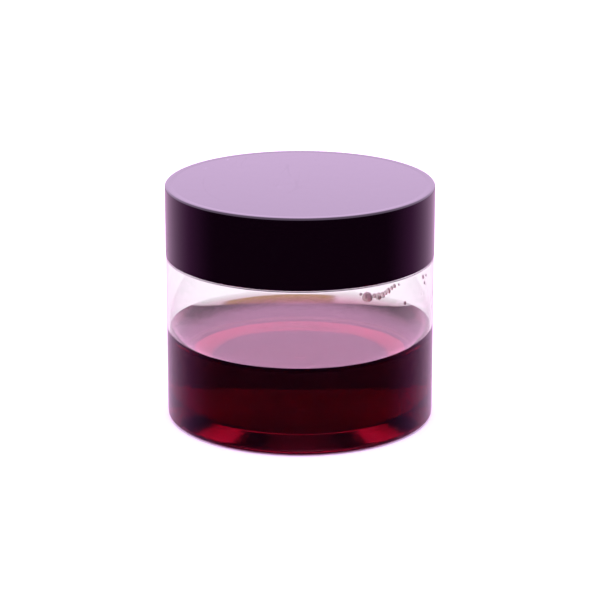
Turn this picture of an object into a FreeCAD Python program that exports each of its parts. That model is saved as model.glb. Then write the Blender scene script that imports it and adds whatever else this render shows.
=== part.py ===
# Clear 100 ml cosmetic jar with a black screw cap, as separate solids in millimetres.
# Origin: centre of the standing face. +Z is up and is the axis that every round piece shares.
import FreeCAD, Part

import math
import os

# ---- driving dimensions -------------------------------------------------------------------
CAP_DIAMETER = 60.0
CAP_HEIGHT = 16.0
TOTAL_HEIGHT = 53.5
JAR_DIAMETER = 59.8
JAR_WALL = 0.6
BASE_THICKNESS = 0.8
FILL_LEVEL = 17.9

# ---- jar ----------------------------------------------------------------------------------
JAR_RADIUS = JAR_DIAMETER / 2
CAVITY_RADIUS = JAR_RADIUS - JAR_WALL
CAP_BOTTOM = TOTAL_HEIGHT - CAP_HEIGHT
CAP_TO_SHOULDER = 0.05
SHOULDER_HEIGHT = CAP_BOTTOM - CAP_TO_SHOULDER
SHOULDER_RADIUS = 0.2
SHOULDER_WALL = 0.4
HEEL_RADIUS = 1.2
FLOOR_CORNER_RADIUS = 0.8
PUSH_UP = 2.9
PUSH_UP_RADIUS = 20.0
PUSH_UP_EDGE_RADIUS = 4.0
STANDING_RING_INNER = 26.8
STANDING_RING_EDGE_RADIUS = 0.8
# The floor's cone lies this much further out than the underside's, so the base keeps its thickness.
FLOOR_CONE_SHIFT = 0.4
GATE_RADIUS = 1.6
GATE_HEIGHT = 0.5
NECK_RADIUS = 25.8
BORE_RADIUS = 24.0
RIM_RADIUS = 0.5

# ---- screw thread, one start, right hand --------------------------------------------------
PITCH = 25.4 / 6
THREAD_TURNS = 1.25
THREAD_START = 41.6
NECK_THREAD_DEPTH = 1.05
NECK_THREAD_ROOT = 2.2
NECK_THREAD_CREST = 1.1
CAP_THREAD_DEPTH = 1.0
CAP_THREAD_ROOT = 2.0
CAP_THREAD_CREST = 0.9
THREAD_OVERLAP = 0.3
# The cap's ridge sits half a pitch under the neck's, then rises until its upper flank nearly bears.
CAP_THREAD_RISE = 0.5
CAP_THREAD_LEAD = 45.0
THREAD_END_TAPER = 35.0

# ---- cap: outer shell, threaded insert and liner ------------------------------------------
CAP_RADIUS = CAP_DIAMETER / 2
SHELL_WALL = 1.3
SHELL_TOP = 1.4
SHELL_EDGE_RADIUS = 0.45
PANEL_DISH = 0.03
PANEL_RADIUS = 28.2
RIM_BAND_INNER = 29.1
SNAP_BEAD = 0.3
SNAP_BEAD_HEIGHT = 0.4
SHELL_BORE = CAP_RADIUS - SHELL_WALL
SHELL_CEILING = TOTAL_HEIGHT - SHELL_TOP
INSERT_RADIUS = 28.1
INSERT_BORE = 27.1
INSERT_TOP = 1.0
INSERT_FLANGE_RADIUS = SHELL_BORE - 0.05
INSERT_FLANGE_HEIGHT = 1.0
INSERT_BOTTOM = CAP_BOTTOM + 0.55
INSERT_RIBS = 18
INSERT_RIB_WIDTH = 0.8
LINER_THICKNESS = 1.2
LINER_RADIUS = 26.9
LINER_BEAD = 0.5
INSERT_CEILING = SHELL_CEILING - INSERT_TOP
LINER_BOTTOM = INSERT_CEILING - LINER_THICKNESS

# ---- seal disc that plugs the mouth -------------------------------------------------------
DISC_THICKNESS = 0.8
DISC_RADIUS = 25.6
DISC_PLUG_RADIUS = BORE_RADIUS - 0.2
DISC_PLUG_DEPTH = 2.45
DISC_PLUG_WALL = 0.9
RIM_HEIGHT = LINER_BOTTOM - DISC_THICKNESS
TAB_LENGTH = 14.0
TAB_THICKNESS = 0.9
TAB_CLEARANCE = 0.3

# ---- contents -----------------------------------------------------------------------------
MENISCUS_RISE = 2.15
MENISCUS_WIDTH = 4.0
MENISCUS_RADIUS = 3.0

UP = FreeCAD.Vector(0, 0, 1)
ORIGIN = FreeCAD.Vector(0, 0, 0)


def at(radius, height, angle=0.0):
    """The point at this radius and height, turned by angle in degrees about the axis."""
    turn = math.radians(angle)
    return FreeCAD.Vector(radius * math.cos(turn), radius * math.sin(turn), height)


def corner_arc(before, corner, after, radius):
    """The arc of this radius that rounds a corner, or None for a sharp one."""
    if radius <= 0:
        return None
    inward = (before - corner).normalize()
    outward = (after - corner).normalize()
    half = inward.getAngle(outward) / 2
    reach = radius / math.tan(half)
    centre = corner + (inward + outward).normalize() * (radius / math.sin(half))
    start, end = corner + inward * reach, corner + outward * reach
    middle = centre + (corner - centre).normalize() * radius
    return Part.Arc(start, middle, end)


def turned(outline):
    """A solid of revolution. The outline is a closed list of (radius, height, corner radius)."""
    corners = [at(radius, height) for radius, height, _ in outline]
    arcs = []
    for index, (_, _, rounding) in enumerate(outline):
        before, after = corners[index - 1], corners[(index + 1) % len(corners)]
        arcs.append(corner_arc(before, corners[index], after, rounding))
    edges = []
    for index, arc in enumerate(arcs):
        following = (index + 1) % len(arcs)
        if arc:
            edges.append(arc.toShape())
        start = arc.EndPoint if arc else corners[index]
        end = arcs[following].StartPoint if arcs[following] else corners[following]
        if start.distanceToPoint(end) > 1e-6:
            edges.append(Part.makeLine(start, end))
    section = Part.Face(Part.Wire(Part.__sortEdges__(edges)))
    return section.revolve(ORIGIN, UP, 360)


def thread_ridge(root_radius, crest_radius, root_width, crest_width, start_height, start_angle):
    """A helical ridge of trapezoid section, with its two ends cut to a slope."""
    outwards = 1 if crest_radius > root_radius else -1
    buried = root_radius - outwards * THREAD_OVERLAP
    helix = Part.makeHelix(PITCH, PITCH * THREAD_TURNS, root_radius)
    corners = [
        at(buried, -root_width / 2),
        at(crest_radius, -crest_width / 2),
        at(crest_radius, crest_width / 2),
        at(buried, root_width / 2),
    ]
    section = Part.makePolygon(corners + corners[:1])
    ridge = Part.Wire(helix.Edges).makePipeShell([section], True, True)
    ends = [(0.0, 0.0, 1), (360 * THREAD_TURNS, PITCH * THREAD_TURNS, -1)]
    for angle, height, side in ends:
        ridge = ridge.cut(end_wedge(root_radius, outwards, angle, height, side))
    ridge.rotate(ORIGIN, UP, start_angle)
    ridge.translate(FreeCAD.Vector(0, 0, start_height))
    return ridge


def end_wedge(root_radius, outwards, angle, height, side):
    """The block that slopes one end of a ridge down to its root over a few millimetres."""
    run = 2.5 * NECK_THREAD_DEPTH
    slope = math.tan(math.radians(THREAD_END_TAPER))
    reach = outwards * run * slope
    foot = root_radius - outwards * THREAD_OVERLAP / 2
    corners = [
        FreeCAD.Vector(foot, -side * 0.5, -2.5),
        FreeCAD.Vector(foot + reach + outwards * 0.5, side * run, -2.5),
        FreeCAD.Vector(foot + reach + outwards * 0.5, -side * 0.5, -2.5),
    ]
    wedge = Part.Face(Part.makePolygon(corners + corners[:1])).extrude(UP * 5)
    wedge.rotate(ORIGIN, UP, angle)
    wedge.translate(FreeCAD.Vector(0, 0, height))
    return wedge


def cavity_floor():
    """Outline of the cavity's floor, from the wall in to the axis."""
    floor = BASE_THICKNESS
    return [
        (CAVITY_RADIUS, floor, FLOOR_CORNER_RADIUS),
        (STANDING_RING_INNER + FLOOR_CONE_SHIFT, floor, STANDING_RING_EDGE_RADIUS + FLOOR_CONE_SHIFT),
        (PUSH_UP_RADIUS + FLOOR_CONE_SHIFT, floor + PUSH_UP, PUSH_UP_EDGE_RADIUS - floor),
        (0, floor + PUSH_UP, 0),
    ]


def jar_body():
    """Clear moulded jar: standing ring, push-up base, straight wall, shoulder and threaded neck."""
    shell = turned([
        (0, PUSH_UP - GATE_HEIGHT, 0),
        (GATE_RADIUS, PUSH_UP - GATE_HEIGHT, 0.2),
        (GATE_RADIUS, PUSH_UP, 0.2),
        (PUSH_UP_RADIUS, PUSH_UP, PUSH_UP_EDGE_RADIUS),
        (STANDING_RING_INNER, 0, STANDING_RING_EDGE_RADIUS),
        (JAR_RADIUS, 0, HEEL_RADIUS),
        (JAR_RADIUS, SHOULDER_HEIGHT, SHOULDER_RADIUS),
        (NECK_RADIUS, SHOULDER_HEIGHT, 0.6),
        (NECK_RADIUS, RIM_HEIGHT, RIM_RADIUS),
        (BORE_RADIUS, RIM_HEIGHT, RIM_RADIUS),
        (BORE_RADIUS, SHOULDER_HEIGHT - SHOULDER_WALL, 0.6),
        (CAVITY_RADIUS, SHOULDER_HEIGHT - SHOULDER_WALL, 0.3),
    ] + cavity_floor())
    crest = NECK_RADIUS + NECK_THREAD_DEPTH
    ridge = thread_ridge(
        NECK_RADIUS, crest, NECK_THREAD_ROOT, NECK_THREAD_CREST, THREAD_START, 0
    )
    return shell.fuse(ridge).removeSplitter()


def product_fill():
    """The contents, filling the cavity up to a level surface that curls up where it meets the wall."""
    return turned(cavity_floor()[::-1] + [
        (CAVITY_RADIUS, FILL_LEVEL + MENISCUS_RISE, 0),
        (CAVITY_RADIUS - MENISCUS_WIDTH / 4, FILL_LEVEL, MENISCUS_RADIUS),
        (0, FILL_LEVEL, 0),
    ])


def cap_shell():
    """Outer shell of the cap: smooth straight skirt, barely dished top and an inner snap bead."""
    bead_top = CAP_BOTTOM + SNAP_BEAD_HEIGHT
    return turned([
        (0, TOTAL_HEIGHT - PANEL_DISH, 0),
        (PANEL_RADIUS, TOTAL_HEIGHT - PANEL_DISH, 2.0),
        (RIM_BAND_INNER, TOTAL_HEIGHT, 2.0),
        (CAP_RADIUS, TOTAL_HEIGHT, SHELL_EDGE_RADIUS),
        (CAP_RADIUS, CAP_BOTTOM, 0.2),
        (SHELL_BORE - SNAP_BEAD, CAP_BOTTOM, 0.15),
        (SHELL_BORE - SNAP_BEAD, bead_top, 0.1),
        (SHELL_BORE, bead_top + 0.1, 0),
        (SHELL_BORE, SHELL_CEILING, 0.4),
        (0, SHELL_CEILING, 0),
    ])


def cap_insert():
    """Threaded inner cap, centred in the shell by its flange and by ribs around its skirt."""
    flange_top = INSERT_BOTTOM + INSERT_FLANGE_HEIGHT
    bead_top = LINER_BOTTOM - 0.1
    insert = turned([
        (0, SHELL_CEILING, 0),
        (INSERT_RADIUS, SHELL_CEILING, 0.5),
        (INSERT_RADIUS, flange_top, 0.3),
        (INSERT_FLANGE_RADIUS, flange_top, 0),
        (INSERT_FLANGE_RADIUS, INSERT_BOTTOM, 0.2),
        (INSERT_BORE + 0.35, INSERT_BOTTOM, 0),
        (INSERT_BORE, INSERT_BOTTOM + 0.5, 0),
        (INSERT_BORE, bead_top - 0.5, 0),
        (INSERT_BORE - LINER_BEAD, bead_top - 0.35, 0.1),
        (INSERT_BORE - LINER_BEAD, bead_top - 0.1, 0.1),
        (INSERT_BORE, bead_top, 0),
        (INSERT_BORE, INSERT_CEILING, 0.2),
        (0, INSERT_CEILING, 0),
    ])
    ridge = thread_ridge(
        INSERT_BORE,
        INSERT_BORE - CAP_THREAD_DEPTH,
        CAP_THREAD_ROOT,
        CAP_THREAD_CREST,
        THREAD_START - PITCH / 2 + CAP_THREAD_RISE + PITCH * CAP_THREAD_LEAD / 360,
        CAP_THREAD_LEAD,
    )
    rib = Part.makeBox(
        INSERT_FLANGE_RADIUS - INSERT_RADIUS + 0.3,
        INSERT_RIB_WIDTH,
        SHELL_CEILING - flange_top - 0.8,
        FreeCAD.Vector(INSERT_RADIUS - 0.35, -INSERT_RIB_WIDTH / 2, flange_top - 0.2),
    )
    ribs = []
    for index in range(INSERT_RIBS):
        copy = rib.copy()
        copy.rotate(ORIGIN, UP, 360 / INSERT_RIBS * index)
        ribs.append(copy)
    return insert.fuse([ridge] + ribs).removeSplitter()


def cap_liner():
    """Foam wad that the insert presses on the mouth."""
    return turned([
        (0, LINER_BOTTOM, 0),
        (LINER_RADIUS, LINER_BOTTOM, 0.15),
        (LINER_RADIUS, INSERT_CEILING, 0.15),
        (0, INSERT_CEILING, 0),
    ])


def seal_disc():
    """Push-in disc that closes the mouth under the cap, with a raised tab to pull it out by."""
    floor_top = RIM_HEIGHT - DISC_PLUG_DEPTH + DISC_THICKNESS
    hollow_radius = DISC_PLUG_RADIUS - DISC_PLUG_WALL
    disc = turned([
        (0, RIM_HEIGHT - DISC_PLUG_DEPTH, 0),
        (DISC_PLUG_RADIUS, RIM_HEIGHT - DISC_PLUG_DEPTH, 0.7),
        (DISC_PLUG_RADIUS, RIM_HEIGHT, 0),
        (DISC_RADIUS, RIM_HEIGHT, 0),
        (DISC_RADIUS, LINER_BOTTOM, 0.2),
        (hollow_radius, LINER_BOTTOM, 0.3),
        (hollow_radius, floor_top, 0.5),
        (0, floor_top, 0),
    ])
    tab_height = LINER_BOTTOM - TAB_CLEARANCE - floor_top
    tab = Part.makeBox(
        TAB_LENGTH,
        TAB_THICKNESS,
        tab_height + 0.2,
        FreeCAD.Vector(-TAB_LENGTH / 2, -TAB_THICKNESS / 2, floor_top - 0.2),
    )
    upper = LINER_BOTTOM - TAB_CLEARANCE
    ends = [e for e in tab.Edges if abs(e.BoundBox.ZMin - upper) < 1e-6 and e.BoundBox.XLength < 1e-6]
    return disc.fuse(tab.makeFillet(1.2, ends)).removeSplitter()


PIECES = {
    "jar_body": jar_body,
    "product_fill": product_fill,
    "cap_shell": cap_shell,
    "cap_insert": cap_insert,
    "cap_liner": cap_liner,
    "seal_disc": seal_disc,
}

os.makedirs("parts", exist_ok=True)
for name, make in PIECES.items():
    piece = make()
    piece.exportStep(f"parts/{name}.step")
    solids = len(piece.Solids)
    print(f"{name}: {solids} solid, valid {piece.isValid()}, {piece.Volume / 1000:.2f} ml")
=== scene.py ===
# %% [markdown]
# # A clear cosmetic jar with a black screw cap
# This lesson dresses a finished CAD model of a small jar. The CAD gives every size and every place, and
# Blender gives the looks: glass-clear plastic, a dark red liquid and a glossy black cap. The first lines
# load that fixed frame.

# %% Load the frame
import math

import bmesh
import bpy
from mathutils import Matrix, Vector


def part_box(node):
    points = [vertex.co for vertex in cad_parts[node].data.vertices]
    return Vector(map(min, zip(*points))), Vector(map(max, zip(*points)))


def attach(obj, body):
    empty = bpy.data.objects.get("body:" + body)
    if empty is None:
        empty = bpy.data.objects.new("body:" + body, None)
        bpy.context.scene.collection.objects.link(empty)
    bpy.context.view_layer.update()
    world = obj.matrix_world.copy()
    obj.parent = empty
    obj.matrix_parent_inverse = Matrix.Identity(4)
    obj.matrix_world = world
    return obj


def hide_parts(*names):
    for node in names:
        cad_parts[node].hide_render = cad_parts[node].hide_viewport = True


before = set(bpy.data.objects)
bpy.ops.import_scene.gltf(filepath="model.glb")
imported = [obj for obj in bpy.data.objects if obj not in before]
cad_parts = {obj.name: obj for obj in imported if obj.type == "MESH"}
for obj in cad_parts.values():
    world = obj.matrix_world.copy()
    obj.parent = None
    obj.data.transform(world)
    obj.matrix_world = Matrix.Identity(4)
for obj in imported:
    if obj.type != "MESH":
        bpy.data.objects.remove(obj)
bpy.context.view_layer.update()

MM = 0.001
HAIR = 0.01 * MM

# %% [markdown]
# ## Sizes read from the frame
# Nothing is measured twice. Each CAD node knows its lowest and highest corners, and from those come the
# radii and heights that the visible pieces share: the wall, the neck, the fill level and the underside of
# the cap.

# %% Sizes
_, jar_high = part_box("jar_body")
_, fill_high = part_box("product_fill")
cap_low, cap_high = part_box("cap_shell")
JAR_RADIUS = jar_high.x
RIM_HEIGHT = jar_high.z
CAVITY_RADIUS = fill_high.x
CAP_RADIUS = cap_high.x
CAP_BOTTOM = cap_low.z
TOP = cap_high.z
CONTACT_HEIGHT = fill_high.z
MENISCUS_RISE = 2.15 * MM
FILL_LEVEL = CONTACT_HEIGHT - MENISCUS_RISE
print(f"jar {JAR_RADIUS * 2:.4f} m across, {TOP:.4f} m high, filled to {FILL_LEVEL:.4f} m")

# %% [markdown]
# ## The camera
# A product shot this flat comes from a long lens some way off and a little above. The lens looks at the
# middle of the object, from the front, which is -Y in this frame.

# %% Camera
CAMERA_DISTANCE = 0.600
CAMERA_ELEVATION = math.radians(17.14)
AIM = Vector((0, 0, TOP * 0.4925))
camera_data = bpy.data.cameras.new("camera")
camera_data.lens = 160.3
camera_data.sensor_width = 36.0
camera_data.clip_start = 0.01
camera = bpy.data.objects.new("camera", camera_data)
back_off = Vector((0, -math.cos(CAMERA_ELEVATION), math.sin(CAMERA_ELEVATION)))
camera.location = AIM + back_off * CAMERA_DISTANCE
camera.rotation_euler = (-back_off).to_track_quat("-Z", "Y").to_euler()
bpy.context.scene.collection.objects.link(camera)
bpy.context.scene.camera = camera
print("camera at", tuple(round(c, 4) for c in camera.location))

# %% [markdown]
# ## Rounded outlines
# Everything here was turned or moulded round, so every shape starts as half of its section: a short list of
# corners, each with the radius that rounds it. Smooth shading averages the normals of neighbouring faces,
# which would bend a long straight wall near its rounded ends, so each straight run also gets a point just
# inside either end.

# %% Outline helper
SUPPORT = 0.03 * MM
ARC_STEP = math.radians(9)


def rounded(corners):
    """Points (radius, height) along an outline of (radius, height, corner radius)."""
    points = [Vector(corners[0][:2])]
    for before, here, after in zip(corners, corners[1:], corners[2:]):
        corner = Vector(here[:2])
        to_before = (Vector(before[:2]) - corner).normalized()
        to_after = (Vector(after[:2]) - corner).normalized()
        radius = here[2]
        if radius <= 0:
            points.append(corner)
            continue
        half = to_before.angle(to_after) / 2
        centre = corner + (to_before + to_after).normalized() * (radius / math.sin(half))
        start = corner + to_before * (radius / math.tan(half)) - centre
        sweep = start.angle_signed(corner + to_after * (radius / math.tan(half)) - centre)
        steps = max(3, math.ceil(abs(sweep) / ARC_STEP))
        for step in range(steps + 1):
            turn = -sweep * step / steps
            points.append(centre + Matrix.Rotation(turn, 2) @ start)
    points.append(Vector(corners[-1][:2]))
    return with_supports(points)


def with_supports(points):
    """The same outline with a point just inside each end of every long straight run."""
    out = [points[0]]
    for a, b in zip(points, points[1:]):
        along = b - a
        if along.length < 1e-7:
            continue
        if along.length > 20 * SUPPORT:
            out.append(a + along.normalized() * SUPPORT)
            out.append(b - along.normalized() * SUPPORT)
        out.append(b)
    return out


sample = rounded([(0, 0, 0), (0.01, 0, 0.002), (0.01, 0.01, 0)])
print("a square corner of 2 mm becomes", len(sample), "points")

# %% [markdown]
# ## Turning an outline into a mesh
# A lathe copies the outline around the axis. The ends of each outline lie on the axis, where the ring of
# points shrinks to a single one, so the result is a closed skin with no seam. A `shift` function may move
# points outwards, which is how the screw thread is raised on the neck without a second, overlapping body. A
# `lift` function may move them upwards, which is how the liquid's edge comes to stand higher at the sides.

# %% Lathe helper
SEGMENTS = 256


def lathe(name, outline, materials, shift=None, lift=None, wet=None, segments=SEGMENTS):
    """A closed solid of revolution about +Z, from an outline that starts and ends on the axis.
    shift and lift say how far a point at (angle, radius, height) moves outwards and upwards.
    wet(a, b) says whether the skin between two points of the outline touches liquid on one side and
    plastic on the other. Those faces carry the mark "wet", and take the second material if there is one."""
    mesh = bmesh.new()
    mark = mesh.faces.layers.float.new("wet")
    rings = []
    for radius, height in outline:
        if radius < 1e-7:
            rings.append([mesh.verts.new((0, 0, height))] * segments)
            continue
        ring = []
        for index in range(segments):
            angle = math.tau * index / segments
            out = radius + (shift(angle, radius, height) if shift else 0)
            up = height + (lift(angle, radius, height) if lift else 0)
            ring.append(mesh.verts.new((out * math.cos(angle), out * math.sin(angle), up)))
        rings.append(ring)
    for ring, following, a, b in zip(rings, rings[1:], outline, outline[1:]):
        touches = bool(wet and wet(a, b))
        for index in range(segments):
            other = (index + 1) % segments
            corners = [ring[index], ring[other], following[other], following[index]]
            unique = list(dict.fromkeys(corners))
            if len(unique) > 2:
                face = mesh.faces.new(unique)
                face[mark] = float(touches)
                face.material_index = int(touches and len(materials) > 1)
    bmesh.ops.recalc_face_normals(mesh, faces=mesh.faces)
    return finished(name, mesh, materials)


def finished(name, mesh, materials):
    """Turns a bmesh into a smooth-shaded object with its materials."""
    data = bpy.data.meshes.new(name)
    mesh.to_mesh(data)
    mesh.free()
    data.shade_smooth()
    for each in materials:
        data.materials.append(each)
    piece = bpy.data.objects.new(name, data)
    bpy.context.scene.collection.objects.link(piece)
    print(f"{name}: {len(data.vertices)} points, {len(data.polygons)} faces")
    return piece


# %% [markdown]
# ## Small helpers for materials
# A material is a small network. Two bits of plumbing keep each recipe readable: one makes a node with its
# settings, the other gives a fresh material with its Principled shader.

# %% Material helpers
def node(tree, kind, **settings):
    """A new node; settings that name an input set its default value, the others set the node."""
    made = tree.nodes.new("ShaderNode" + kind)
    for key, value in settings.items():
        if hasattr(made, key):
            setattr(made, key, value)
        else:
            made.inputs[key.replace("_", " ")].default_value = value
    return made


def material(name):
    """A material with its tree, its Principled shader and its output."""
    made = bpy.data.materials.new(name)
    made.use_nodes = True
    tree = made.node_tree
    return made, tree, tree.nodes["Principled BSDF"], tree.nodes["Material Output"]


# %% [markdown]
# ## Shared surface effects
# Moulded plastic is never perfect. Three effects are built once, each as a node group with named inputs and
# outputs: the slow waviness that a mould leaves, hair-fine handling scratches, and specks of dust. A fourth
# kind of group, the region, says softly whether a point lies in one part of a piece. All of them read
# object coordinates, so the marks travel with their piece when it moves.

# %% Effect groups
def effect(name, inputs, outputs):
    """An empty shader group with float sockets, and its input and output nodes."""
    group = bpy.data.node_groups.new(name, "ShaderNodeTree")
    for label, value in inputs.items():
        socket = group.interface.new_socket(label, in_out="INPUT", socket_type="NodeSocketFloat")
        socket.default_value = value
    for label in outputs:
        group.interface.new_socket(label, in_out="OUTPUT", socket_type="NodeSocketFloat")
    return group, group.nodes.new("NodeGroupInput"), group.nodes.new("NodeGroupOutput")


def make_waviness():
    """Slow undulation of a moulded skin, as a height from 0 to 1."""
    group, given, result = effect("mould waviness", {"Scale": 90.0, "Detail": 1.0}, ["Height"])
    place = node(group, "TexCoord")
    noise = node(group, "TexNoise", Roughness=0.4)
    group.links.new(place.outputs["Object"], noise.inputs["Vector"])
    group.links.new(given.outputs["Scale"], noise.inputs["Scale"])
    group.links.new(given.outputs["Detail"], noise.inputs["Detail"])
    group.links.new(noise.outputs["Fac"], result.inputs["Height"])
    return group


def make_scratches():
    """Thin curved hairlines: the zero line of a stretched noise, broken up by a second noise."""
    settings = {"Scale": 220.0, "Width": 0.012, "Cover": 0.5}
    group, given, result = effect("handling scratches", settings, ["Mask"])
    place = node(group, "TexCoord")
    stretch = node(group, "Mapping", Scale=(1.0, 0.25, 0.6), Rotation=(0.3, 0.2, 0.7))
    lines = node(group, "TexNoise", Detail=0.5, Distortion=0.6)
    centred = node(group, "Math", operation="SUBTRACT")
    centred.inputs[1].default_value = 0.5
    away = node(group, "Math", operation="ABSOLUTE")
    thin = node(group, "Math", operation="LESS_THAN")
    patches = node(group, "TexNoise", Scale=70.0, Detail=2.0)
    chosen = node(group, "Math", operation="GREATER_THAN")
    both = node(group, "Math", operation="MULTIPLY")
    group.links.new(place.outputs["Object"], stretch.inputs["Vector"])
    group.links.new(stretch.outputs["Vector"], lines.inputs["Vector"])
    group.links.new(given.outputs["Scale"], lines.inputs["Scale"])
    group.links.new(lines.outputs["Fac"], centred.inputs[0])
    group.links.new(centred.outputs[0], away.inputs[0])
    group.links.new(away.outputs[0], thin.inputs[0])
    group.links.new(given.outputs["Width"], thin.inputs[1])
    group.links.new(place.outputs["Object"], patches.inputs["Vector"])
    group.links.new(patches.outputs["Fac"], chosen.inputs[0])
    group.links.new(given.outputs["Cover"], chosen.inputs[1])
    group.links.new(thin.outputs[0], both.inputs[0])
    group.links.new(chosen.outputs[0], both.inputs[1])
    group.links.new(both.outputs[0], result.inputs["Mask"])
    return group


def make_dust():
    """Sparse specks: small dots at the middle of a few Voronoi cells picked by their random colour."""
    group, given, result = effect("dust specks", {"Scale": 700.0, "Size": 0.16, "Share": 0.06}, ["Mask"])
    place = node(group, "TexCoord")
    cells = node(group, "TexVoronoi", Randomness=1.0)
    small = node(group, "Math", operation="LESS_THAN")
    pick = node(group, "SeparateColor")
    few = node(group, "Math", operation="LESS_THAN")
    both = node(group, "Math", operation="MULTIPLY")
    group.links.new(place.outputs["Object"], cells.inputs["Vector"])
    group.links.new(given.outputs["Scale"], cells.inputs["Scale"])
    group.links.new(cells.outputs["Distance"], small.inputs[0])
    group.links.new(given.outputs["Size"], small.inputs[1])
    group.links.new(cells.outputs["Color"], pick.inputs["Color"])
    group.links.new(pick.outputs["Red"], few.inputs[0])
    group.links.new(given.outputs["Share"], few.inputs[1])
    group.links.new(small.outputs[0], both.inputs[0])
    group.links.new(few.outputs[0], both.inputs[1])
    group.links.new(both.outputs[0], result.inputs["Mask"])
    return group


def soft_step(tree, source, outside, inside):
    """0 where the source is beyond one value, 1 beyond the other, smooth between."""
    fade = node(tree, "MapRange", interpolation_type="SMOOTHSTEP")
    fade.inputs["From Min"].default_value = outside
    fade.inputs["From Max"].default_value = inside
    tree.links.new(source, fade.inputs["Value"])
    return fade.outputs["Result"]


def make_region(name, limits):
    """A soft-edged part of a piece, from (axis, outside, inside) in mm; R is the distance from +Z."""
    group, _, result = effect(name, {}, ["Mask"])
    place = node(group, "TexCoord")
    parts = node(group, "SeparateXYZ")
    flat = node(group, "VectorMath", operation="MULTIPLY")
    flat.inputs[1].default_value = (1, 1, 0)
    reach = node(group, "VectorMath", operation="LENGTH")
    group.links.new(place.outputs["Object"], parts.inputs["Vector"])
    group.links.new(place.outputs["Object"], flat.inputs[0])
    group.links.new(flat.outputs["Vector"], reach.inputs[0])
    sources = {axis: parts.outputs[axis] for axis in "XYZ"} | {"R": reach.outputs["Value"]}
    mask = None
    for axis, outside, inside in limits:
        faded = soft_step(group, sources[axis], outside * MM, inside * MM)
        if mask:
            both = node(group, "Math", operation="MULTIPLY")
            group.links.new(mask, both.inputs[0])
            group.links.new(faded, both.inputs[1])
            faded = both.outputs[0]
        mask = faded
    group.links.new(mask, result.inputs["Mask"])
    return group


WAVINESS = make_waviness()
SCRATCHES = make_scratches()
DUST = make_dust()
UNDERSIDE = make_region("underside", [("R", 27.6, 27.4), ("Z", 3.1, 2.9)])
TIDE_MARK = make_region(
    "tide mark", [("X", -19.5, -17.0), ("X", 10.0, 7.0), ("Y", 0, 1), ("Z", 13, 14), ("Z", 18.9, 18.3)]
)
# This ring is where the floor's painted shadow under the jar ends: 0 under the jar, 1 beyond it.
OUTSIDE_PAINTED_SHADOW = make_region("outside the painted shadow under the jar", [("R", 27, 29)])
print("effect groups:", ", ".join(group.name for group in bpy.data.node_groups))


def placed(tree, group, **values):
    """One use of an effect group in a material, with its own values."""
    made = tree.nodes.new("ShaderNodeGroup")
    made.node_tree = group
    for label, value in values.items():
        made.inputs[label].default_value = value
    return made


def bumped(tree, shader, height, strength, distance):
    """Feeds a height through a Bump node into a shader's Normal."""
    bump = node(tree, "Bump", Strength=strength, Distance=distance)
    tree.links.new(height, bump.inputs["Height"])
    tree.links.new(bump.outputs["Normal"], shader.inputs["Normal"])


def mixed(tree, factor, a, b):
    """A colour between a and b, each of them a colour or another node's output."""
    made = node(tree, "Mix", data_type="RGBA")
    tree.links.new(factor, made.inputs["Factor"])
    for socket, colour in ((made.inputs["A"], a), (made.inputs["B"], b)):
        if isinstance(colour, tuple):
            socket.default_value = (*colour, 1)
        else:
            tree.links.new(colour, socket)
    return made.outputs["Result"]


def spread(tree, source, low, high, into):
    """Maps a 0 to 1 value onto low to high and links it into a socket."""
    ramp = node(tree, "MapRange")
    ramp.inputs["To Min"].default_value = low
    ramp.inputs["To Max"].default_value = high
    tree.links.new(source, ramp.inputs["Value"])
    tree.links.new(ramp.outputs["Result"], into)


# %% [markdown]
# ## Clear moulded plastic
# The jar is a clear polyester, as bright as glass but lighter. Its shader is a Principled BSDF that
# transmits all its light with the plastic's own index of refraction. The mould's waviness barely tilts the
# surface and a few hairlines roughen it, which is what tells plastic from glass up close. Inside the
# standing ring the underside is lightly textured. Where liquid wets the plastic, the skin takes the index
# of the pair, and a brown tide mark at the rear tints it.

# %% Clear plastic
PLASTIC_IOR = 1.50
LIQUID_IOR = 1.42


def make_clear_plastic():
    made, tree, shader, _ = material("clear_plastic")
    shader.inputs["Base Color"].default_value = (1.0, 1.0, 1.0, 1)
    shader.inputs["Transmission Weight"].default_value = 1.0
    shader.inputs["IOR"].default_value = PLASTIC_IOR
    wavy = placed(tree, WAVINESS, Scale=110.0, Detail=1.0)
    bumped(tree, shader, wavy.outputs["Height"], 0.02, 0.0004)
    marks = placed(tree, SCRATCHES, Scale=160.0, Width=0.004, Cover=0.56)
    under = placed(tree, UNDERSIDE)
    rough = node(tree, "Math", operation="MAXIMUM")
    tree.links.new(marks.outputs["Mask"], rough.inputs[0])
    tree.links.new(under.outputs["Mask"], rough.inputs[1])
    spread(tree, rough.outputs[0], 0.0, 0.09, shader.inputs["Roughness"])
    return made


def make_wet_plastic():
    made, tree, shader, _ = material("clear_plastic_wet")
    shader.inputs["Transmission Weight"].default_value = 1.0
    shader.inputs["IOR"].default_value = PLASTIC_IOR / LIQUID_IOR
    shader.inputs["Roughness"].default_value = 0.0
    stain = placed(tree, TIDE_MARK)
    tinted = mixed(tree, stain.outputs["Mask"], (1.0, 1.0, 1.0), (0.28, 0.17, 0.03))
    tree.links.new(tinted, shader.inputs["Base Color"])
    return made


CLEAR_PLASTIC = make_clear_plastic()
WET_PLASTIC = make_wet_plastic()
print("plastics:", CLEAR_PLASTIC.name, WET_PLASTIC.name)

# %% [markdown]
# ## The red liquid
# A coloured liquid isn't painted on its surface: light loses its green and blue on the way through. So the
# shader is perfectly clear and a Volume Absorption does the colouring by depth. A centimetre is wine red,
# the jar's whole width is nearly black, and a thin edge stays pale pink.

# %% Red liquid
ABSORPTION_PER_METRE = (80.0, 250.0, 190.0)


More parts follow.
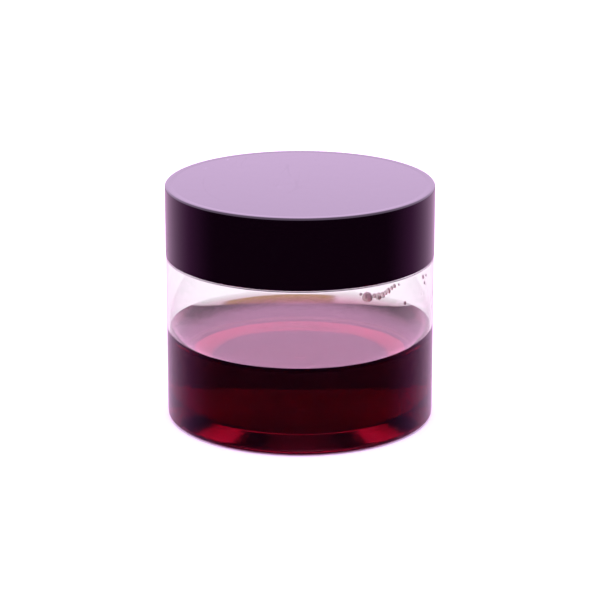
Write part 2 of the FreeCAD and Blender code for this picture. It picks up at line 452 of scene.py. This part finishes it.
def make_red_liquid():
    made, tree, shader, output = material("red_liquid")
    shader.inputs["Base Color"].default_value = (1.0, 1.0, 1.0, 1)
    shader.inputs["Transmission Weight"].default_value = 1.0
    shader.inputs["Roughness"].default_value = 0.0
    shader.inputs["IOR"].default_value = LIQUID_IOR
    skin = node(tree, "Attribute", attribute_name="wet")
    spread(tree, skin.outputs["Fac"], LIQUID_IOR, 1.0, shader.inputs["IOR"])
    density = max(ABSORPTION_PER_METRE)
    kept = [1 - taken / density for taken in ABSORPTION_PER_METRE]
    volume = node(tree, "VolumeAbsorption", Color=(*kept, 1), Density=density)
    tree.links.new(volume.outputs["Volume"], output.inputs["Volume"])
    return made


RED_LIQUID = make_red_liquid()
print("liquid:", RED_LIQUID.name)

# %% [markdown]
# ## Glossy black plastic
# The cap is moulded in black and polished by its mould. Its colour is close to nothing, so what shows is
# what it mirrors: its roughness, its faint orange-peel waviness, hairlines from handling and a few specks
# of dust.

# %% Glossy black
def make_black_gloss():
    made, tree, shader, _ = material("black_gloss")
    shader.inputs["IOR"].default_value = 1.5
    wavy = placed(tree, WAVINESS, Scale=260.0, Detail=2.0)
    bumped(tree, shader, wavy.outputs["Height"], 0.03, 0.0002)
    marks = placed(tree, SCRATCHES, Scale=120.0, Width=0.004, Cover=0.52)
    spread(tree, marks.outputs["Mask"], 0.06, 0.16, shader.inputs["Roughness"])
    dust = placed(tree, DUST, Scale=420.0, Size=0.14, Share=0.035)
    tint = mixed(tree, dust.outputs["Mask"], (0.0008, 0.0002, 0.0006), (0.09, 0.08, 0.10))
    tree.links.new(tint, shader.inputs["Base Color"])
    return made


BLACK_GLOSS = make_black_gloss()
print("cap plastic:", BLACK_GLOSS.name)

# %% [markdown]
# ## Hidden plastics
# Under the cap sit a semi-matt black threaded insert, a white foam liner and a natural white seal disc.
# They show when the cap is off, so each gets its own recipe: grain for the insert, cells for the foam, a
# waxy body for the disc.

# %% Insert, liner and disc
def make_black_inner():
    made, tree, shader, _ = material("black_inner")
    grain = placed(tree, WAVINESS, Scale=2400.0, Detail=3.0)
    bumped(tree, shader, grain.outputs["Height"], 0.15, 0.00008)
    spread(tree, grain.outputs["Height"], 0.3, 0.5, shader.inputs["Roughness"])
    wear = placed(tree, SCRATCHES, Scale=300.0, Width=0.02, Cover=0.5)
    tint = mixed(tree, wear.outputs["Mask"], (0.010, 0.009, 0.012), (0.030, 0.028, 0.034))
    tree.links.new(tint, shader.inputs["Base Color"])
    return made


def make_liner_foam():
    made, tree, shader, _ = material("liner_foam")
    place = node(tree, "TexCoord")
    cells = node(tree, "TexVoronoi", feature="DISTANCE_TO_EDGE", Scale=2600.0)
    tree.links.new(place.outputs["Object"], cells.inputs["Vector"])
    bumped(tree, shader, cells.outputs["Distance"], 0.35, 0.0001)
    tint = node(tree, "ValToRGB")
    tint.color_ramp.elements[0].color = (0.70, 0.70, 0.69, 1)
    tint.color_ramp.elements[1].color = (0.88, 0.88, 0.87, 1)
    tint.color_ramp.elements[1].position = 0.25
    tree.links.new(cells.outputs["Distance"], tint.inputs["Fac"])
    tree.links.new(tint.outputs["Color"], shader.inputs["Base Color"])
    shader.inputs["Roughness"].default_value = 0.55
    return made


def make_seal_plastic():
    made, tree, shader, _ = material("seal_plastic")
    cloud = placed(tree, WAVINESS, Scale=140.0, Detail=3.0)
    tint = mixed(tree, cloud.outputs["Height"], (0.80, 0.80, 0.77), (0.90, 0.90, 0.88))
    tree.links.new(tint, shader.inputs["Base Color"])
    spread(tree, cloud.outputs["Height"], 0.28, 0.42, shader.inputs["Roughness"])
    shader.inputs["Subsurface Weight"].default_value = 0.35
    shader.inputs["Subsurface Radius"].default_value = (0.9, 0.9, 0.8)
    shader.inputs["Subsurface Scale"].default_value = 0.0012
    return made


INNER_MATERIALS = {
    "cap_insert": make_black_inner(),
    "cap_liner": make_liner_foam(),
    "seal_disc": make_seal_plastic(),
}
for name, finish in INNER_MATERIALS.items():
    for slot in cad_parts[name].material_slots:
        slot.material = finish
print("inner pieces dressed:", ", ".join(INNER_MATERIALS))

# %% [markdown]
# ## The screw thread
# One ridge climbs the neck, right hand, six turns to the inch. Instead of sweeping a section and joining
# it, the thread is a function: for any point of the neck it says how far the surface is raised there. The
# flanks slope, and both ends run out gently, as a mould needs.

# %% Thread
PITCH = 25.4 * MM / 6
THREAD_TURNS = 1.25
THREAD_START = 41.6 * MM
THREAD_DEPTH = 1.05 * MM
CREST_HALF = 0.55 * MM
ROOT_HALF = 0.98 * MM
RUN_OUT = 4.0 * MM
NECK_RADIUS = 25.8 * MM


def eased(share):
    """0 to 1 with soft ends."""
    share = min(max(share, 0.0), 1.0)
    return share * share * (3 - 2 * share)


def thread_rise(angle, radius, height):
    """How far the thread lifts the neck's outer surface at this angle and height."""
    if abs(radius - NECK_RADIUS) > HAIR:
        return 0.0
    most = 0.0
    for turn in range(math.ceil(THREAD_TURNS)):
        wound = angle + math.tau * turn
        off = abs(height - THREAD_START - PITCH * wound / math.tau)
        flank = eased((ROOT_HALF - off) / (ROOT_HALF - CREST_HALF))
        to_end = min(wound, math.tau * THREAD_TURNS - wound) * NECK_RADIUS
        most = max(most, THREAD_DEPTH * flank * eased(to_end / RUN_OUT))
    return most


crest = thread_rise(math.pi, NECK_RADIUS, THREAD_START + PITCH / 2)
print("thread stands", crest / MM, "mm proud at its crest")

# %% [markdown]
# ## The jar
# The jar's section goes from the gate mark under the base, over the standing ring and heel, up the wall,
# across the shoulder, up the neck and back down inside. The neck's straight stretch is cut into many short
# rows so that the thread has points to lift. A film left by tilting makes the wetted part reach higher at
# the sides, most of all at the right. The shoulder is drawn 0.02 mm nearer the cap than in the CAD, and
# 0.05 mm thinner, so that no bright line opens between them.

# %% Jar
BASE = 0.8 * MM
PUSH_UP = 2.9 * MM
PUSH_UP_RADIUS = 20.0 * MM
PUSH_UP_EDGE = 4.0 * MM
STANDING_INNER = 26.8 * MM
STANDING_EDGE = 0.8 * MM
CONE_SHIFT = 0.4 * MM
HEEL = 1.2 * MM
GATE_RADIUS = 1.6 * MM
GATE_HEIGHT = 0.5 * MM
FLOOR_CORNER = 0.8 * MM
SHOULDER = CAP_BOTTOM - 0.03 * MM
SHOULDER_UNDER = SHOULDER - 0.35 * MM
BORE_RADIUS = 24.0 * MM
NECK_ROW = 0.14 * MM

FILM_RIGHT = 1.5 * MM
FILM_LEFT = 0.9 * MM
CAPILLARY_LENGTH = 2.0 * MM


def lifted(angle, radius, height):
    """How much higher the liquid's edge is here: it fades over the surface and doesn't reach its depth."""
    if height < FILL_LEVEL - HAIR or height > CONTACT_HEIGHT + 2 * SUPPORT:
        return 0.0
    film = (FILM_RIGHT if math.cos(angle) > 0 else FILM_LEFT) * abs(math.cos(angle)) ** 3
    return film * math.exp(-max(CAVITY_RADIUS - radius, 0) / CAPILLARY_LENGTH)


cavity_floor = [
    (CAVITY_RADIUS, CONTACT_HEIGHT, 0),
    (CAVITY_RADIUS, BASE, FLOOR_CORNER),
    (STANDING_INNER + CONE_SHIFT, BASE, STANDING_EDGE + CONE_SHIFT),
    (PUSH_UP_RADIUS + CONE_SHIFT, BASE + PUSH_UP, PUSH_UP_EDGE - BASE),
    (0, BASE + PUSH_UP, 0),
]


def with_rows(points, radius, spacing):
    """Cuts the long vertical run at this radius into rows."""
    out = [points[0]]
    for a, b in zip(points, points[1:]):
        if abs(a.x - radius) < 1e-6 and abs(b.x - radius) < 1e-6 and (b - a).length > 4 * spacing:
            rows = round((b - a).length / spacing)
            out.extend(a.lerp(b, row / rows) for row in range(1, rows))
        out.append(b)
    return out


jar_outline = rounded([
    (0, PUSH_UP - GATE_HEIGHT, 0),
    (GATE_RADIUS, PUSH_UP - GATE_HEIGHT, 0.2 * MM),
    (GATE_RADIUS, PUSH_UP, 0.2 * MM),
    (PUSH_UP_RADIUS, PUSH_UP, PUSH_UP_EDGE),
    (STANDING_INNER, 0, STANDING_EDGE),
    (JAR_RADIUS, 0, HEEL),
    (JAR_RADIUS, SHOULDER, 0.2 * MM),
    (NECK_RADIUS, SHOULDER, 0.6 * MM),
    (NECK_RADIUS, RIM_HEIGHT, 0.5 * MM),
    (BORE_RADIUS, RIM_HEIGHT, 0.5 * MM),
    (BORE_RADIUS, SHOULDER_UNDER, 0.6 * MM),
    (CAVITY_RADIUS, SHOULDER_UNDER, 0.3 * MM),
] + cavity_floor)
jar_outline = with_rows(jar_outline, NECK_RADIUS, NECK_ROW)
contact = min(jar_outline, key=lambda p: (p - Vector((CAVITY_RADIUS, CONTACT_HEIGHT))).length)
wetted = {tuple(p) for p in jar_outline[jar_outline.index(contact):]}
jar_skins = [CLEAR_PLASTIC, WET_PLASTIC]
jar = lathe("jar", jar_outline, jar_skins, thread_rise, lifted, lambda a, b: tuple(a) in wetted)
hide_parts("jar_body")
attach(jar, "jar")

# %% [markdown]
# ## The liquid
# The liquid follows the jar's inside and must leave no air between the two, or the wall would shine like a
# bubble. So its skin sits a hair inside the plastic. Its top is level, and curls up where it wets the wall:
# the height falls off exponentially over the capillary length. Its edge is lifted at the sides by the same
# film as the jar's.

# %% Liquid
WETTING = 0.04 * MM
MENISCUS_REACH = 10 * MM
MENISCUS_STEPS = 40


def offset(points, distance):
    """The outline moved sideways by a distance, along the mean of its neighbours' normals."""
    moved = []
    for index, point in enumerate(points):
        before = points[max(index - 1, 0)]
        after = points[min(index + 1, len(points) - 1)]
        along = (after - before).normalized()
        moved.append(point + Vector((-along.y, along.x)) * -distance)
    moved[-1].x = 0
    return moved


surface = [Vector((0, FILL_LEVEL)), Vector((CAVITY_RADIUS * 0.5, FILL_LEVEL))]
for step in range(MENISCUS_STEPS + 1):
    away = MENISCUS_REACH * (1 - step / MENISCUS_STEPS) ** 2
    climb = MENISCUS_RISE * math.exp(-away / CAPILLARY_LENGTH)
    surface.append(Vector((CAVITY_RADIUS - away, FILL_LEVEL + climb)))
corner = Vector((CAVITY_RADIUS + WETTING, CONTACT_HEIGHT))
below = offset(rounded(cavity_floor), -WETTING)
skin = {tuple(p) for p in [corner] + below[1:]}
liquid_outline = surface + [corner] + below[1:]
liquid = lathe("liquid", liquid_outline, [RED_LIQUID], lift=lifted, wet=lambda a, b: tuple(a) in skin)
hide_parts("product_fill")
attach(liquid, "jar")

# %% [markdown]
# ## Droplets and residue
# The jar was tilted at some time, so some of the liquid clings to the wall above its level. Each droplet is
# a flattened ball with its back cut to the wall, the largest one low and the smallest ones high. They are
# placed by their direction from the axis and their height. What dried along the rear of the contact line
# isn't a piece of its own: it is the tide mark in the wet plastic.

# %% Droplets and residue
DROPLETS = [
    (56.8, 19.3, 1.45, 1.0), (53.2, 20.2, 0.6, 0.5), (50.6, 20.3, 0.9, 0.7), (48.4, 20.9, 0.7, 0.6),
    (46.6, 21.6, 0.55, 0.45), (44.8, 22.3, 0.65, 0.5), (42.8, 23.2, 0.45, 0.4), (41.0, 23.9, 0.5, 0.4),
    (60.6, 19.9, 0.4, 0.35), (33.0, 20.7, 0.5, 0.4), (14.6, 29.6, 0.5, 0.4), (12.0, 28.6, 0.4, 0.35),
    (9.4, 30.8, 0.35, 0.3), (78.6, 20.0, 0.5, 0.4), (84.0, 19.9, 0.3, 0.25), (38.0, 24.6, 0.3, 0.25),
]


def make_droplet_liquid():
    made, tree, shader, output = material("droplet_liquid")
    shader.inputs["Base Color"].default_value = (1.0, 0.93, 0.92, 1)
    shader.inputs["Transmission Weight"].default_value = 0.7
    shader.inputs["Roughness"].default_value = 0.08
    shader.inputs["IOR"].default_value = LIQUID_IOR
    volume = node(tree, "VolumeAbsorption", Color=(0.9, 0.45, 0.2, 1), Density=260.0)
    tree.links.new(volume.outputs["Volume"], output.inputs["Volume"])
    return made


def droplets(name, spots, finish):
    """Flattened balls cut to the cavity wall, from (degrees from +X, height mm, half width mm, depth mm)."""
    mesh = bmesh.new()
    for angle, height, half, out in spots:
        turn = math.radians(angle)
        squash = Matrix.Diagonal((out * MM, half * MM, half * 1.08 * MM, 1))
        place = Matrix.Rotation(turn, 4, "Z") @ Matrix.Translation((CAVITY_RADIUS, 0, height * MM))
        bmesh.ops.create_uvsphere(mesh, u_segments=24, v_segments=14, radius=1.0, matrix=place @ squash)
    for point in mesh.verts:
        reach = min(1.0, (CAVITY_RADIUS - HAIR) / point.co.xy.length)
        point.co.x *= reach
        point.co.y *= reach
    return finished(name, mesh, [finish])


beads = droplets("droplets", DROPLETS, make_droplet_liquid())
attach(beads, "jar")
beads.visible_glossy = False

# %% [markdown]
# ## The cap
# A straight wall, a crisp edge and a top panel that sits a hair lower than its rim. The edge radius is
# small but real, because that thin curve catches the light and draws the cap's outline.

# %% Cap
SKIRT_WALL = 1.3 * MM
TOP_WALL = 1.4 * MM
PANEL_DROP = 0.03 * MM
MOUTH_STEP = 0.3 * MM
cap_outline = rounded([
    (0, TOP - PANEL_DROP, 0),
    (28.2 * MM, TOP - PANEL_DROP, 4.0 * MM),
    (29.1 * MM, TOP, 4.0 * MM),
    (CAP_RADIUS, TOP, 0.45 * MM),
    (CAP_RADIUS, CAP_BOTTOM, 0.2 * MM),
    (CAP_RADIUS - SKIRT_WALL - MOUTH_STEP, CAP_BOTTOM, 0.15 * MM),
    (CAP_RADIUS - SKIRT_WALL - MOUTH_STEP, CAP_BOTTOM + 0.4 * MM, 0.1 * MM),
    (CAP_RADIUS - SKIRT_WALL, CAP_BOTTOM + 0.5 * MM, 0.02 * MM),
    (CAP_RADIUS - SKIRT_WALL, TOP - TOP_WALL, 0.4 * MM),
    (0, TOP - TOP_WALL, 0),
])
cap = lathe("cap", cap_outline, [BLACK_GLOSS])
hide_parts("cap_shell")
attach(cap, "cap")

# %% [markdown]
# ## The set
# A white table runs out of sight. It is fully white only where the camera sees it directly. Light that has
# come through the jar meets a duller table with a painted shadow, nearly black, under the jar itself, and
# reflections don't meet it at all.

# %% Floor
def make_floor():
    made, tree, shader, _ = material("floor_white")
    shader.inputs["Roughness"].default_value = 0.9
    around = placed(tree, OUTSIDE_PAINTED_SHADOW)
    # Under the jar the colour is a painted shadow, nearly black; beyond the ring the table is grey.
    grey_with_painted_shadow = mixed(tree, around.outputs["Mask"], (0.02, 0.02, 0.02), (0.45, 0.57, 0.40))
    path = node(tree, "LightPath")
    seen = mixed(tree, path.outputs["Is Camera Ray"], grey_with_painted_shadow, (0.9, 0.9, 0.9))
    tree.links.new(seen, shader.inputs["Base Color"])
    return made


floor_mesh = bmesh.new()
bmesh.ops.create_grid(floor_mesh, x_segments=1, y_segments=1, size=3.0)
floor = finished("floor", floor_mesh, [make_floor()])
floor.location.z = -0.02 * MM
floor.visible_glossy = False

# %% [markdown]
# ## Light
# The tent is one world shader. A ray's last step decides which part it sees: matt surfaces get the even
# glow, a mirror-like surface sees the tent as it is, and light that has come through plastic or liquid is
# rosier, since the far wall of the tent is. Low down the tent fades: a little light at the back, less at
# the sides, and next to nothing towards the camera.

# %% Light
TENT_GLOW = (2.5, 1.85, 2.8)
TENT_MIRRORED = (2.19, 1.55, 2.41)
TENT_THROUGH = (2.5, 1.17, 2.04)
LOW_FRONT = (0.06, 0.008, 0.055)
LOW_SIDE = (0.43, 0.12, 0.40)
LOW_BACK = (1.0, 0.60, 0.96)


def make_world():
    world = bpy.data.worlds.new("light tent")
    bpy.context.scene.world = world
    world.use_nodes = True
    tree = world.node_tree
    tree.nodes.clear()
    place = node(tree, "TexCoord")
    parts = node(tree, "SeparateXYZ")
    tree.links.new(place.outputs["Generated"], parts.inputs["Vector"])
    sideways = soft_step(tree, parts.outputs["Y"], -0.25, 0.5)
    backwards = soft_step(tree, parts.outputs["Y"], 0.25, 0.95)
    upwards = soft_step(tree, parts.outputs["Z"], -0.05, 0.15)
    low = mixed(tree, sideways, LOW_FRONT, LOW_SIDE)
    low = mixed(tree, backwards, low, LOW_BACK)
    mirrored = mixed(tree, upwards, low, TENT_MIRRORED)
    through = mixed(tree, upwards, low, TENT_THROUGH)
    path = node(tree, "LightPath")
    shown = mixed(tree, path.outputs["Is Glossy Ray"], TENT_GLOW, mirrored)
    shown = mixed(tree, path.outputs["Is Transmission Ray"], shown, through)
    background = node(tree, "Background")
    tree.links.new(shown, background.inputs["Color"])
    output = node(tree, "OutputWorld")
    tree.links.new(background.outputs["Background"], output.inputs["Surface"])


make_world()
scene = bpy.context.scene
scene.view_settings.view_transform = "Standard"
scene.cycles.max_bounces = 24
scene.cycles.transmission_bounces = 24
scene.cycles.glossy_bounces = 8
scene.cycles.sample_clamp_indirect = 0
print("lit by", scene.world.name)
